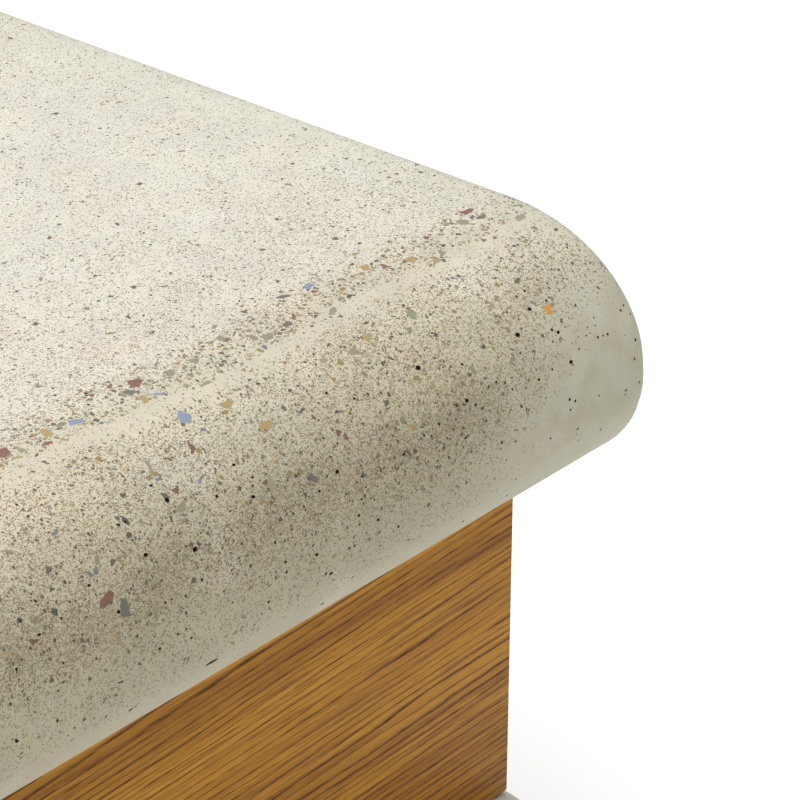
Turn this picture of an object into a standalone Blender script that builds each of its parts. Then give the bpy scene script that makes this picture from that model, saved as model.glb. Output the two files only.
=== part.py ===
"""Backless bench: a cast concrete seat slab and a matching base slab, tied together around an oak-clad core.

Metres, +Z up. The origin is on the ground under the middle of the bench, +X runs along its length and -Y is its front.
Each object is one piece of the bench, in its own material. Threads are plain cylinders with a clearance.
"""

import math

import bmesh
import bpy
from mathutils import Matrix, Vector

# Overall sizes
bench_length = 1.800
bench_depth = 0.540
slab_thickness = 0.125
core_height = 0.190
ground_gap = 0.010
base_end_set_back = 0.005

# Slab section: flat in the middle, a half-elliptical nose along each long edge, an eased arris round each end
nose_projection = 0.077
end_arris = 0.017
nose_steps = 20
arris_steps = 4

# Oak cladding round the core
board_thickness = 0.028
board_stand_forward = 0.009
board_end_set_back = 0.014
board_arris = 0.0012
block_side = 0.045
block_arris = 0.002

# Wood screws with flange heads
screw_radius = 0.0025
screw_head_radius = 0.0065
screw_head_height = 0.003
screw_bite = 0.018
screw_level_share_low = 0.35
screw_level_share_high = 0.65

# Welded steel pedestals
pedestal_inset = 0.350
plate_along = 0.140
plate_across = 0.240
plate_thickness = 0.008
post_along = 0.080
post_across = 0.160
post_wall = 0.005
arm_width = 0.040
arm_thickness = 0.006
arm_foot_height = 0.060
bearing_thickness = 0.005
weld_overlap = 0.001

# M16 tie rods with nuts and washers in counterbores under the base
rod_radius = 0.008
rod_spacing = 0.100
rod_chamfer = 0.0015
rod_hole_clearance = 0.001
counterbore_radius = 0.022
counterbore_depth = 0.030
washer_radius = 0.0165
washer_thickness = 0.003
nut_flats = 0.024
nut_height = 0.013
rod_end_beyond_nut = 0.005
socket_wall = 0.0045
tie_socket_length = 0.060
rod_engagement = 0.050

# Rubber glides, let into the underside of the base over the pedestals
glide_side = 0.080
glide_recess = 0.005
glide_spread = 0.280

# Levelling feet in pockets under the base
foot_inset = 0.180
foot_spread = 0.280
foot_travel = 0.024
foot_ground_clearance = 0.002
foot_pad_radius = 0.030
foot_pad_thickness = 0.006
foot_pad_boss_radius = 0.0135
foot_pocket_clearance = 0.008
foot_socket_length = 0.060
foot_least_engagement = 0.030
spanner_flats = 0.019
spanner_height = 0.008
ball_radius = 0.0075
neck_radius = 0.0050

# Clearances
fit_gap = 0.0003
thread_clearance = 0.0003
ball_clearance = 0.0005

round_segments = 16
screw_segments = 8
edge_segments = 1
ball_steps = 4

# Heights and places that follow from the sizes above
base_bottom = ground_gap
base_top = base_bottom + slab_thickness
seat_bottom = base_top + core_height
flat_half_depth = bench_depth / 2 - nose_projection
core_half_depth = flat_half_depth + board_stand_forward
core_half_length = bench_length / 2 - board_end_set_back
board_bottom = base_top + fit_gap
board_top = seat_bottom - fit_gap
pedestal_bottom = base_top + fit_gap
bearing_bottom = seat_bottom - fit_gap - bearing_thickness
pedestal_top = bearing_bottom - fit_gap
pedestal_x = bench_length / 2 - pedestal_inset
foot_x = bench_length / 2 - foot_inset
washer_top = base_bottom + counterbore_depth - fit_gap
nut_top = washer_top - washer_thickness - fit_gap
socket_radius = rod_radius + thread_clearance + socket_wall

pad_bottom = base_bottom + foot_ground_clearance
ball_centre = pad_bottom + foot_pad_thickness + ball_radius
pad_boss_top = ball_centre + ball_radius * 0.6
spanner_bottom = pad_boss_top + ball_clearance * 3
spanner_top = spanner_bottom + spanner_height
foot_pocket_top = spanner_top + ball_clearance * 3
foot_pocket_radius = foot_pad_radius + foot_pocket_clearance
foot_socket_bottom = foot_pocket_top

SIDES = {"left": -1, "right": 1}
FACES = {"front": -1, "rear": 1}


def clear_scene():
    for thing in list(bpy.data.objects):
        bpy.data.objects.remove(thing, do_unlink=True)


def material(name, colour, roughness, metallic=0.0):
    """A Principled material of one colour."""
    made = bpy.data.materials.new(name)
    made.use_nodes = True
    shader = made.node_tree.nodes["Principled BSDF"]
    shader.inputs["Base Color"].default_value = (*colour, 1.0)
    shader.inputs["Roughness"].default_value = roughness
    shader.inputs["Metallic"].default_value = metallic
    return made


def concrete_material(name):
    return material(name, (0.69, 0.67, 0.57), 0.75)


def oak_material(name):
    return material(name, (0.30, 0.13, 0.03), 0.45)


def galvanised_material(name):
    return material(name, (0.52, 0.54, 0.55), 0.45, 1.0)


def stainless_material(name):
    return material(name, (0.62, 0.61, 0.59), 0.28, 1.0)


def rubber_material(name):
    return material(name, (0.02, 0.02, 0.02), 0.8)


def place(name, mesh, dress, matrix=None):
    """Add a mesh to the scene as one named piece in its own material."""
    piece = bpy.data.objects.new(name, mesh)
    bpy.context.scene.collection.objects.link(piece)
    mesh.materials.clear()
    mesh.materials.append(dress(name))
    if matrix:
        piece.matrix_world = matrix
    return piece


def finish(shape, name):
    """Turn a bmesh into a mesh with clean normals."""
    bmesh.ops.recalc_face_normals(shape, faces=shape.faces)
    mesh = bpy.data.meshes.new(name)
    shape.to_mesh(mesh)
    shape.free()
    return mesh


def box_mesh(name, low, high):
    """A box between two corners."""
    shape = bmesh.new()
    bmesh.ops.create_cube(shape, size=1.0)
    low, high = Vector(low), Vector(high)
    size = high - low
    bmesh.ops.scale(shape, vec=size, verts=shape.verts)
    bmesh.ops.translate(shape, vec=(low + high) / 2, verts=shape.verts)
    return finish(shape, name)


def turned_mesh(name, profile, segments=round_segments):
    """Spin an outline of (radius, height) points about Z. It is closed, or starts and ends on the axis."""
    shape = bmesh.new()
    points = [shape.verts.new((radius, 0, height)) for radius, height in profile]
    edges = [shape.edges.new(pair) for pair in zip(points, points[1:])]
    if profile[0][0] > 0:
        edges.append(shape.edges.new((points[-1], points[0])))
    bmesh.ops.spin(
        shape, geom=points + edges, cent=(0, 0, 0), axis=(0, 0, 1), angle=math.tau,
        steps=segments, use_merge=True, use_duplicate=False,
    )
    bmesh.ops.remove_doubles(shape, verts=shape.verts, dist=1e-6)
    bmesh.ops.dissolve_degenerate(shape, edges=shape.edges, dist=1e-6)
    mesh = finish(shape, name)
    mesh.shade_smooth()
    mesh.set_sharp_from_angle(angle=math.radians(30))
    return mesh


def rod_profile(radius, bottom, top, chamfer=0.0):
    """The outline of a plain rod, chamfered at both ends."""
    if not chamfer:
        return [(0, bottom), (radius, bottom), (radius, top), (0, top)]
    return [
        (0, bottom), (radius - chamfer, bottom), (radius, bottom + chamfer),
        (radius, top - chamfer), (radius - chamfer, top), (0, top),
    ]


def ring_profile(inner, outer, bottom, top):
    """The outline of a plain ring."""
    return [(inner, bottom), (outer, bottom), (outer, top), (inner, top)]


def hex_mesh(name, flats, bottom, top):
    """A hexagonal prism, by its width across flats."""
    shape = bmesh.new()
    corner_radius = flats / 2 / math.cos(math.pi / 6)
    bmesh.ops.create_cone(
        shape, cap_ends=True, segments=6, radius1=corner_radius, radius2=corner_radius, depth=top - bottom,
    )
    bmesh.ops.translate(shape, vec=(0, 0, (bottom + top) / 2), verts=shape.verts)
    return finish(shape, name)


def combine(target, operation, meshes):
    """Cut from the target, or weld to it, one mesh after another. Each is a (mesh, matrix) pair or a mesh."""
    for entry in meshes:
        mesh, matrix = entry if isinstance(entry, tuple) else (entry, Matrix())
        tool = bpy.data.objects.new(f"{target.name}.{operation.lower()}", mesh)
        bpy.context.scene.collection.objects.link(tool)
        tool.matrix_world = matrix
        tool.hide_render = True
        tool.display_type = "WIRE"
        step = target.modifiers.new(operation.title(), "BOOLEAN")
        step.operation = operation
        step.solver = "EXACT"
        step.object = tool


def drill(target, meshes):
    combine(target, "DIFFERENCE", meshes)


def weld(target, meshes):
    combine(target, "UNION", meshes)


def slab_outline():
    """The slab's section as (y, z) points about its centre: two flats joined by half-elliptical noses."""
    points = []
    for side in (1, -1):
        for step in range(nose_steps + 1):
            turn = math.pi * step / nose_steps
            along = flat_half_depth + nose_projection * math.sin(turn)
            points.append((side * along, side * slab_thickness / 2 * math.cos(turn)))
    return points


def slab_mesh(name, length, bottom):
    """Extrude the section along the bench, then ease the edge round both ends."""
    shape = bmesh.new()
    middle = bottom + slab_thickness / 2
    ring = [shape.verts.new((-length / 2, y, middle + z)) for y, z in slab_outline()]
    end = shape.faces.new(ring)
    grown = bmesh.ops.extrude_face_region(shape, geom=[end])
    moved = [item for item in grown["geom"] if isinstance(item, bmesh.types.BMVert)]
    bmesh.ops.translate(shape, vec=(length, 0, 0), verts=moved)
    bmesh.ops.recalc_face_normals(shape, faces=shape.faces)
    end_edges = [edge for edge in shape.edges if abs(edge.verts[0].co.x - edge.verts[1].co.x) < 1e-6]
    bmesh.ops.bevel(
        shape, geom=end_edges, offset=end_arris, offset_type="OFFSET", segments=arris_steps, profile=0.5,
        affect="EDGES", material=-1,
    )
    mesh = finish(shape, name)
    mesh.shade_smooth()
    mesh.set_sharp_from_angle(angle=math.radians(40))
    return mesh


def at(x, y, z=0.0):
    return Matrix.Translation((x, y, z))


def rod_places():
    """Name and place of each tie rod."""
    return {
        f"{side}_{face}": (SIDES[side] * pedestal_x, FACES[face] * rod_spacing / 2)
        for side in SIDES for face in FACES
    }


def foot_places():
    """Name and place of each levelling foot."""
    return {
        f"{side}_{face}": (SIDES[side] * foot_x, FACES[face] * foot_spread / 2)
        for side in SIDES for face in FACES
    }


def glide_places():
    """Name and place of each rubber glide."""
    return {
        f"{side}_{face}": (SIDES[side] * pedestal_x, FACES[face] * glide_spread / 2)
        for side in SIDES for face in FACES
    }


def make_base_slab():
    """The lower slab, with tie-rod holes, counterbores, glide recesses and levelling-foot pockets."""
    length = bench_length - 2 * base_end_set_back
    slab = place("base_slab", slab_mesh("base_slab", length, base_bottom), concrete_material)
    hole = rod_radius + rod_hole_clearance
    below = base_bottom - ground_gap
    step = base_bottom + counterbore_depth
    rod_hole = [
        (0, below), (counterbore_radius, below), (counterbore_radius, step),
        (hole, step), (hole, base_top + ground_gap), (0, base_top + ground_gap),
    ]
    socket_hole = socket_radius + fit_gap
    socket_end = foot_socket_bottom + foot_socket_length + fit_gap
    pocket = [
        (0, below), (foot_pocket_radius, below), (foot_pocket_radius, foot_pocket_top),
        (socket_hole, foot_pocket_top), (socket_hole, socket_end), (0, socket_end),
    ]
    half = glide_side / 2 + fit_gap
    recess_top = base_bottom + glide_recess
    cuts = [(turned_mesh("rod_hole", rod_hole), at(x, y)) for x, y in rod_places().values()]
    cuts += [(turned_mesh("foot_pocket", pocket), at(x, y)) for x, y in foot_places().values()]
    cuts += [
        (box_mesh("glide_recess", (-half, -half, below), (half, half, recess_top)), at(x, y))
        for x, y in glide_places().values()
    ]
    drill(slab, cuts)


def make_seat_slab():
    """The upper slab, with a blind hole for each cast-in socket."""
    slab = place("seat_slab", slab_mesh("seat_slab", bench_length, seat_bottom), concrete_material)
    hole = rod_profile(
        socket_radius + fit_gap, seat_bottom - ground_gap, seat_bottom + tie_socket_length + fit_gap,
    )
    drill(slab, [(turned_mesh("socket_hole", hole), at(x, y)) for x, y in rod_places().values()])


def make_pedestal(side):
    """A steel post between two plates, with an arm out to each long board. One welded piece."""
    x = SIDES[side] * pedestal_x
    name = f"pedestal_{side}"
    half_along, half_across = plate_along / 2, plate_across / 2
    low_plate_top = pedestal_bottom + plate_thickness
    high_plate_bottom = pedestal_top - plate_thickness
    lower = box_mesh(name, (-half_along, -half_across, pedestal_bottom), (half_along, half_across, low_plate_top))
    pedestal = place(name, lower, galvanised_material, at(x, 0))
    upper = box_mesh("plate", (-half_along, -half_across, high_plate_bottom), (half_along, half_across, pedestal_top))
    post = box_mesh(
        "post", (-post_along / 2, -post_across / 2, low_plate_top - weld_overlap),
        (post_along / 2, post_across / 2, high_plate_bottom + weld_overlap),
    )
    weld(pedestal, [(mesh, at(x, 0)) for mesh in (post, upper)])
    middle = (pedestal_bottom + pedestal_top) / 2
    reach = core_half_depth - board_thickness - fit_gap
    for face in FACES.values():
        near, far = face * (post_across / 2 - weld_overlap), face * (reach - weld_overlap)
        arm = box_mesh(
            "arm", (-arm_width / 2, min(near, far), middle - arm_thickness / 2),
            (arm_width / 2, max(near, far), middle + arm_thickness / 2),
        )
        near, far = face * (reach - arm_thickness), face * reach
        foot = box_mesh(
            "arm_foot", (-arm_width / 2, min(near, far), middle - arm_foot_height / 2),
            (arm_width / 2, max(near, far), middle + arm_foot_height / 2),
        )
        weld(pedestal, [(arm, at(x, 0)), (foot, at(x, 0))])
    hollow = box_mesh(
        "hollow", (-post_along / 2 + post_wall, -post_across / 2 + post_wall, low_plate_top),
        (post_along / 2 - post_wall, post_across / 2 - post_wall, high_plate_bottom),
    )
    cuts = [(hollow, at(x, 0))]
    hole = rod_profile(
        rod_radius + rod_hole_clearance, pedestal_bottom - ground_gap, pedestal_top + ground_gap,
    )
    cuts += [(turned_mesh("rod_hole", hole), at(x, face * rod_spacing / 2)) for face in FACES.values()]
    cuts += [(screw_hole_mesh(arm_thickness), arm_screw_matrix(side, face)) for face in FACES]
    drill(pedestal, cuts)


def make_bearing_pad(side):
    """The rubber pad that the seat slab beds down on."""
    x = SIDES[side] * pedestal_x
    name = f"bearing_pad_{side}"
    half_along, half_across = plate_along / 2, plate_across / 2
    top = bearing_bottom + bearing_thickness
    body = box_mesh(name, (-half_along, -half_across, bearing_bottom), (half_along, half_across, top))
    pad = place(name, body, rubber_material, at(x, 0))
    hole = rod_profile(rod_radius + rod_hole_clearance, bearing_bottom - ground_gap, top + ground_gap)
    drill(pad, [(turned_mesh("rod_hole", hole), at(x, face * rod_spacing / 2)) for face in FACES.values()])


def make_tie(name, x, y):
    """One tie rod with its nut, washer and the threaded socket cast into the seat slab."""
    nut_bottom = nut_top - nut_height
    socket_bottom = seat_bottom + fit_gap
    rod = rod_profile(rod_radius, nut_bottom - rod_end_beyond_nut, socket_bottom + rod_engagement, rod_chamfer)
    place(f"tie_rod_{name}", turned_mesh("tie_rod", rod), stainless_material, at(x, y))
    bore = rod_radius + thread_clearance
    washer = ring_profile(bore, washer_radius, washer_top - washer_thickness, washer_top)
    place(f"tie_washer_{name}", turned_mesh("tie_washer", washer), stainless_material, at(x, y))
    nut = place(f"tie_nut_{name}", hex_mesh("tie_nut", nut_flats, nut_bottom, nut_top), stainless_material, at(x, y))
    bore_cut = rod_profile(bore, nut_bottom - ground_gap, nut_top + ground_gap)
    drill(nut, [(turned_mesh("nut_bore", bore_cut), at(x, y))])
    socket = ring_profile(bore, socket_radius, socket_bottom, seat_bottom + tie_socket_length)
    place(f"tie_socket_{name}", turned_mesh("tie_socket", socket), stainless_material, at(x, y))


def mitred_board_mesh(name, half_length, outer, inner):
    """A board whose outline in plan is a trapezium: 45 degree mitres at both ends, long edge outside."""
    shape = bmesh.new()
    short = half_length - (outer - inner)
    outline = [(-half_length, -outer), (half_length, -outer), (short, -inner), (-short, -inner)]
    corners = [shape.verts.new((x, y, board_bottom)) for x, y in outline]
    floor = shape.faces.new(corners)
    grown = bmesh.ops.extrude_face_region(shape, geom=[floor])
    moved = [item for item in grown["geom"] if isinstance(item, bmesh.types.BMVert)]
    bmesh.ops.translate(shape, vec=(0, 0, board_top - board_bottom), verts=moved)
    bmesh.ops.recalc_face_normals(shape, faces=shape.faces)
    bmesh.ops.bevel(
        shape, geom=shape.edges[:], offset=board_arris, offset_type="OFFSET", segments=edge_segments, profile=0.5,
        affect="EDGES", material=-1,
    )
    return finish(shape, name)


def make_boards():
    """Front, rear and end boards, mitred where they meet, with a pilot hole for each screw."""
    mitre_gap = fit_gap * math.sqrt(2)
    for face in FACES:
        turn = Matrix.Rotation(math.pi, 4, "Z") if face == "rear" else Matrix()
        mesh = mitred_board_mesh("board", core_half_length, core_half_depth, core_half_depth - board_thickness)
        board = place(f"oak_{face}", mesh, oak_material, turn)
        cuts = [(screw_hole_mesh(block_side), side_screw_matrix(side, face)) for side in SIDES]
        cuts += [(screw_hole_mesh(arm_thickness), arm_screw_matrix(side, face)) for side in SIDES]
        drill(board, cuts)
    for side in SIDES:
        turn = Matrix.Rotation(SIDES[side] * math.pi / 2, 4, "Z")
        half_width = core_half_depth - mitre_gap
        mesh = mitred_board_mesh("board", half_width, core_half_length, core_half_length - board_thickness)
        board = place(f"oak_{side}", mesh, oak_material, turn)
        drill(board, [(screw_hole_mesh(block_side), end_screw_matrix(side, face)) for face in FACES])


def block_centre(side, face):
    """The middle of a corner block, in plan."""
    inside = board_thickness + fit_gap + block_side / 2
    return SIDES[side] * (core_half_length - inside), FACES[face] * (core_half_depth - inside)


def make_corner_block(side, face):
    """An oak post behind a mitre, drilled for one screw each way."""
    x, y = block_centre(side, face)
    shape = bmesh.new()
    bmesh.ops.create_cube(shape, size=1.0)
    bmesh.ops.scale(shape, vec=(block_side, block_side, board_top - board_bottom), verts=shape.verts)
    bmesh.ops.bevel(
        shape, geom=shape.edges[:], offset=block_arris, offset_type="OFFSET", segments=edge_segments, profile=0.5,
        affect="EDGES", material=-1,
    )
    mesh = finish(shape, "corner_block")
    block = place(f"corner_block_{side}_{face}", mesh, oak_material, at(x, y, (board_bottom + board_top) / 2))
    holes = [side_screw_matrix(side, face), end_screw_matrix(side, face)]
    drill(block, [(screw_hole_mesh(block_side), matrix) for matrix in holes])


def pointing(direction, place_at):
    """Stand a piece made along +Z so that it points in a direction, with its head's seat at a place."""
    turn = Vector((0, 0, 1)).rotation_difference(Vector(direction)).to_matrix().to_4x4()
    return Matrix.Translation(place_at) @ turn


def screw_level(share):
    return board_bottom + share * (board_top - board_bottom)


def side_screw_matrix(side, face):
    """Seat and direction of the screw from a corner block out into the front or rear board."""
    x, y = block_centre(side, face)
    seat = y - FACES[face] * (block_side / 2 + fit_gap)
    return pointing((0, FACES[face], 0), (x, seat, screw_level(screw_level_share_low)))


def end_screw_matrix(side, face):
    """Seat and direction of the screw from a corner block out into the end board."""
    x, y = block_centre(side, face)
    seat = x - SIDES[side] * (block_side / 2 + fit_gap)
    return pointing((SIDES[side], 0, 0), (seat, y, screw_level(screw_level_share_high)))


def arm_screw_matrix(side, face):
    """Seat and direction of the screw from a pedestal's arm out into the front or rear board."""
    seat = FACES[face] * (core_half_depth - board_thickness - arm_thickness - 2 * fit_gap)
    level = (pedestal_bottom + pedestal_top) / 2 + (arm_foot_height + arm_thickness) / 4
    return pointing((0, FACES[face], 0), (SIDES[side] * pedestal_x, seat, level))


def screw_profile(length):
    """A flange head, a plain shank and a point. The head's seat is at height 0."""
    point = screw_radius * 2
    return [
        (0, -screw_head_height), (screw_head_radius * 0.7, -screw_head_height),
        (screw_head_radius, -screw_head_height / 3), (screw_head_radius, 0), (screw_radius, 0),
        (screw_radius, length - point), (0, length),
    ]


def screw_hole_mesh(through):
    """The drill for a screw that passes through a piece of this thickness into a board."""
    reach = screw_length(through) + fit_gap
    radius = screw_radius + fit_gap
    return turned_mesh("screw_hole", rod_profile(radius, -fit_gap, reach), screw_segments)


def screw_length(through):
    """From the head's seat, through a piece of this thickness, and into a board."""
    return fit_gap + through + fit_gap + screw_bite


def make_screws(side, face):
    """The three screws of one corner and one pedestal arm."""
    long_screw = screw_profile(screw_length(block_side))
    short_screw = screw_profile(screw_length(arm_thickness))
    for kind, profile, matrix in (
        ("side_screw", long_screw, side_screw_matrix(side, face)),
        ("end_screw", long_screw, end_screw_matrix(side, face)),
        ("arm_screw", short_screw, arm_screw_matrix(side, face)),
    ):
        mesh = turned_mesh(kind, profile, screw_segments)
        place(f"{kind}_{side}_{face}", mesh, stainless_material, matrix)


def make_glide(name, x, y):
    """A rubber block let into the base slab, which the bench stands on."""
    half = glide_side / 2
    top = base_bottom + glide_recess - fit_gap
    place(f"glide_{name}", box_mesh("glide", (-half, -half, 0), (half, half, top)), rubber_material, at(x, y))


def ball_arc(radius, start, end):
    """Points on the ball joint's circle, from one angle to another above the horizontal."""
    angles = [start + (end - start) * step / ball_steps for step in range(ball_steps + 1)]
    return [(radius * math.cos(angle), ball_centre + radius * math.sin(angle)) for angle in angles]


def make_foot(name, x, y):
    """A levelling foot: socket cast into the base, threaded stud with spanner flats, swivel pad on its ball."""
    bore = rod_radius + thread_clearance
    socket = ring_profile(bore, socket_radius, foot_socket_bottom, foot_socket_bottom + foot_socket_length)
    place(f"foot_socket_{name}", turned_mesh("foot_socket", socket), stainless_material, at(x, y))

    neck_turn = math.acos(neck_radius / ball_radius)
    stud_top = foot_socket_bottom + foot_travel + foot_least_engagement
    stud_profile = [
        (0, ball_centre - ball_radius), *ball_arc(ball_radius, -math.pi / 2, neck_turn)[1:],
        (neck_radius, spanner_bottom), (rod_radius, spanner_bottom + fit_gap), (rod_radius, stud_top - rod_chamfer),
        (rod_radius - rod_chamfer, stud_top), (0, stud_top),
    ]
    stud = place(f"foot_stud_{name}", turned_mesh("foot_stud", stud_profile), stainless_material, at(x, y))
    weld(stud, [(hex_mesh("spanner_flats", spanner_flats, spanner_bottom, spanner_top), at(x, y))])

    cup = ball_radius + ball_clearance
    lip_turn = math.asin((pad_boss_top - ball_centre) / cup)
    pad_profile = [
        (0, pad_bottom), (foot_pad_radius, pad_bottom), (foot_pad_radius, pad_bottom + foot_pad_thickness / 2),
        (foot_pad_boss_radius, pad_bottom + foot_pad_thickness), (foot_pad_boss_radius, pad_boss_top),
        *ball_arc(cup, lip_turn, -math.pi / 2)[:-1], (0, ball_centre - cup),
    ]
    place(f"foot_pad_{name}", turned_mesh("foot_pad", pad_profile), galvanised_material, at(x, y))


def main():
    clear_scene()
    make_seat_slab()
    make_base_slab()
    make_boards()
    for side in SIDES:
        make_pedestal(side)
        make_bearing_pad(side)
        for face in FACES:
            make_corner_block(side, face)
            make_screws(side, face)
    for name, (x, y) in rod_places().items():
        make_tie(name, x, y)
    for name, (x, y) in glide_places().items():
        make_glide(name, x, y)
    for name, (x, y) in foot_places().items():
        make_foot(name, x, y)


main()
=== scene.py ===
"""Backless street bench: the finished look of its two concrete slabs, oak cladding and fittings.

Everything is in metres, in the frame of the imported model: +X along the bench, -Y its front, +Z up.
"""

import logging
import math
import random
from abc import ABC, abstractmethod
from dataclasses import dataclass, field
from enum import Enum
from typing import Any, Iterable, Mapping, NamedTuple, Sequence

import bmesh
import bpy
from mathutils import Matrix, Vector, noise


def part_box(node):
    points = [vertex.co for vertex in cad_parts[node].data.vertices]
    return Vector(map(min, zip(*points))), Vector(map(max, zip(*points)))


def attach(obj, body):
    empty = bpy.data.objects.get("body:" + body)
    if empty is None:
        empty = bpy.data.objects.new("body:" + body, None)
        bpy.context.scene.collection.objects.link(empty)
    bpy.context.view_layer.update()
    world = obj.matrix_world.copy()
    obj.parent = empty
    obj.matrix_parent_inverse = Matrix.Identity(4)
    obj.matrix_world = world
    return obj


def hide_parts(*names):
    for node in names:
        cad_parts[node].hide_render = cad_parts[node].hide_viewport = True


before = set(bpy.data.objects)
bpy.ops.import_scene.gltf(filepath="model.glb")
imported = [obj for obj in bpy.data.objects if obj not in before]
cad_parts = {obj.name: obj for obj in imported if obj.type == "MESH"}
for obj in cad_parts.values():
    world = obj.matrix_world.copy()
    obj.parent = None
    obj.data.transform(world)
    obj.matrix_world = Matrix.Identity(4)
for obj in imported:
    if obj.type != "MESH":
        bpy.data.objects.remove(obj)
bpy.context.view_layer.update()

logging.basicConfig(level=logging.INFO, format="%(message)s")
log = logging.getLogger("bench")

MM = 0.001
BENCH_BODY = "bench"

Socket = bpy.types.NodeSocket
Tree = bpy.types.NodeTree
Node = bpy.types.Node


class Side(Enum):
    """The two ends of the bench, by the sign of X."""

    LEFT = -1
    RIGHT = 1


class Face(Enum):
    """The two long sides of the bench, by the sign of Y."""

    FRONT = -1
    REAR = 1


def linear(hex_colour: str) -> tuple[float, float, float, float]:
    """Turn an sRGB hex colour into linear RGBA.

    Args:
        hex_colour: Six hex digits, with or without a leading #.

    Returns:
        The linear colour with an alpha of 1.
    """
    digits = hex_colour.lstrip("#")
    channels = [int(digits[start:start + 2], 16) / 255 for start in (0, 2, 4)]
    red, green, blue = (c / 12.92 if c <= 0.04045 else ((c + 0.055) / 1.055) ** 2.4 for c in channels)
    return red, green, blue, 1.0


def add(tree: Tree, kind: str, inputs: Mapping[Any, Any] | None = None, **settings: Any) -> Node:
    """Add one shader node, with its settings, its fixed inputs and its links.

    Args:
        tree: The node tree that gets the node.
        kind: The node's Blender type name, without the leading ShaderNode.
        inputs: Input name or index to a fixed value, or to the socket that feeds it.
        **settings: The node's own properties.

    Returns:
        The new node.
    """
    node = tree.nodes.new(f"ShaderNode{kind}")
    for name, value in settings.items():
        setattr(node, name, value)
    for key, value in (inputs or {}).items():
        if isinstance(value, Socket):
            tree.links.new(value, node.inputs[key])
        else:
            node.inputs[key].default_value = value
    return node


def set_stops(node: Node, stops: Iterable[tuple[float, str]], interpolation: str = "LINEAR") -> Socket:
    """Give a colour ramp its stops.

    Args:
        node: A colour ramp node.
        stops: Pairs of position and sRGB hex colour, in rising order.
        interpolation: How the ramp runs between its stops.

    Returns:
        The ramp's colour output.
    """
    ramp = node.color_ramp
    ramp.interpolation = interpolation
    stops = list(stops)
    while len(ramp.elements) < len(stops):
        ramp.elements.new(1.0)
    for element, (position, colour) in zip(ramp.elements, stops):
        element.position = position
        element.color = linear(colour)
    return node.outputs["Color"]


class Finish(ABC):
    """A material of one of the bench's pieces. Each finish is built once and then shared."""

    made: dict["Finish", bpy.types.Material] = {}

    @property
    @abstractmethod
    def title(self) -> str:
        """The material's name: what the real one is and how its surface was made."""

    @abstractmethod
    def paint(self, tree: Tree, shader: Node) -> None:
        """Build the pattern and feed it to the Principled shader.

        Args:
            tree: The material's node tree.
            shader: Its Principled shader.
        """

    def material(self) -> bpy.types.Material:
        """Give the finished material, which is built the first time it is asked for.

        Returns:
            The material.
        """
        if self not in Finish.made:
            material = bpy.data.materials.new(self.title)
            material.use_nodes = True
            tree = material.node_tree
            self.paint(tree, tree.nodes["Principled BSDF"])
            Finish.made[self] = material
        return Finish.made[self]


def number(tree: Tree, operation: str, *terms: Any, clamp: bool = False) -> Socket:
    """Work out one number from others in a node tree.

    Args:
        tree: The node tree.
        operation: The Math node's operation.
        *terms: Its inputs, each a number or a socket.
        clamp: Whether the result is held between 0 and 1.

    Returns:
        The result's socket.
    """
    node = add(tree, "Math", dict(enumerate(terms)), operation=operation, use_clamp=clamp)
    return node.outputs["Value"]


def between(tree: Tree, value: Socket, low: float, high: float, start: float = 0.0, end: float = 1.0) -> Socket:
    """Map a value smoothly from one range to another, held at its ends.

    Args:
        tree: The node tree.
        value: The value to map.
        low: Where the range starts.
        high: Where the range ends.
        start: The result at the start.
        end: The result at the end.

    Returns:
        The mapped value's socket.
    """
    inputs = {"Value": value, "From Min": low, "From Max": high, "To Min": start, "To Max": end}
    return add(tree, "MapRange", inputs, interpolation_type="SMOOTHSTEP").outputs["Result"]


def blend(tree: Tree, factor: Any, first: Any, second: Any, mode: str = "MIX") -> Socket:
    """Mix two colours.

    Args:
        tree: The node tree.
        factor: How much of the second colour shows.
        first: The colour under.
        second: The colour over.
        mode: The blend mode.

    Returns:
        The mixed colour's socket.
    """
    node = add(tree, "Mix", {0: factor, 6: first, 7: second}, data_type="RGBA", blend_type=mode)
    return node.outputs[2]


@dataclass(frozen=True)
class Grading:
    """One size of stone in the concrete, and how much of it shows where.

    Attributes:
        spacing: Width of the cells that the stones sit in.
        joint: Narrowest joint of paste round a stone, as a share of the cell.
        cover: How strongly the stones' colour covers the paste.
        top: Share of the cells filled on the ground top.
        row: Share filled in the row where the grinding goes deepest.
        nose: Share filled on the upper nose.
        low: Share filled on the lower nose.
        colours: Where each stone colour starts, from 0 to 1, and the colour.
    """

    spacing: float
    joint: float
    cover: float
    top: float
    row: float
    nose: float
    low: float
    colours: tuple[tuple[float, str], ...]


SILT = Grading(
    spacing=0.62 * MM, joint=0.05, cover=0.85, top=0.30, row=0.28, nose=0.56, low=0.26,
    colours=(
        (0.0, "74663F"), (0.25, "5A4B30"), (0.45, "877043"), (0.58, "413722"), (0.76, "7A4F2C"), (0.90, "5E5E4C"),
    ),
)
SAND = Grading(
    spacing=1.5 * MM, joint=0.09, cover=0.9, top=0.10, row=0.26, nose=0.28, low=0.05,
    colours=(
        (0.0, "5C563C"), (0.22, "5E4934"), (0.36, "7B6B41"), (0.54, "383426"), (0.70, "7D6A3E"), (0.82, "54584D"),
        (0.90, "787352"),
    ),
)
GRIT = Grading(
    spacing=2.9 * MM, joint=0.10, cover=0.92, top=0.03, row=0.60, nose=0.17, low=0.012,
    colours=(
        (0.0, "7C785D"), (0.22, "6C493A"), (0.32, "867448"), (0.50, "545246"), (0.66, "8E6F3F"), (0.71, "666D6C"),
        (0.78, "8C8765"), (0.92, "42463F"),
    ),
)
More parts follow.
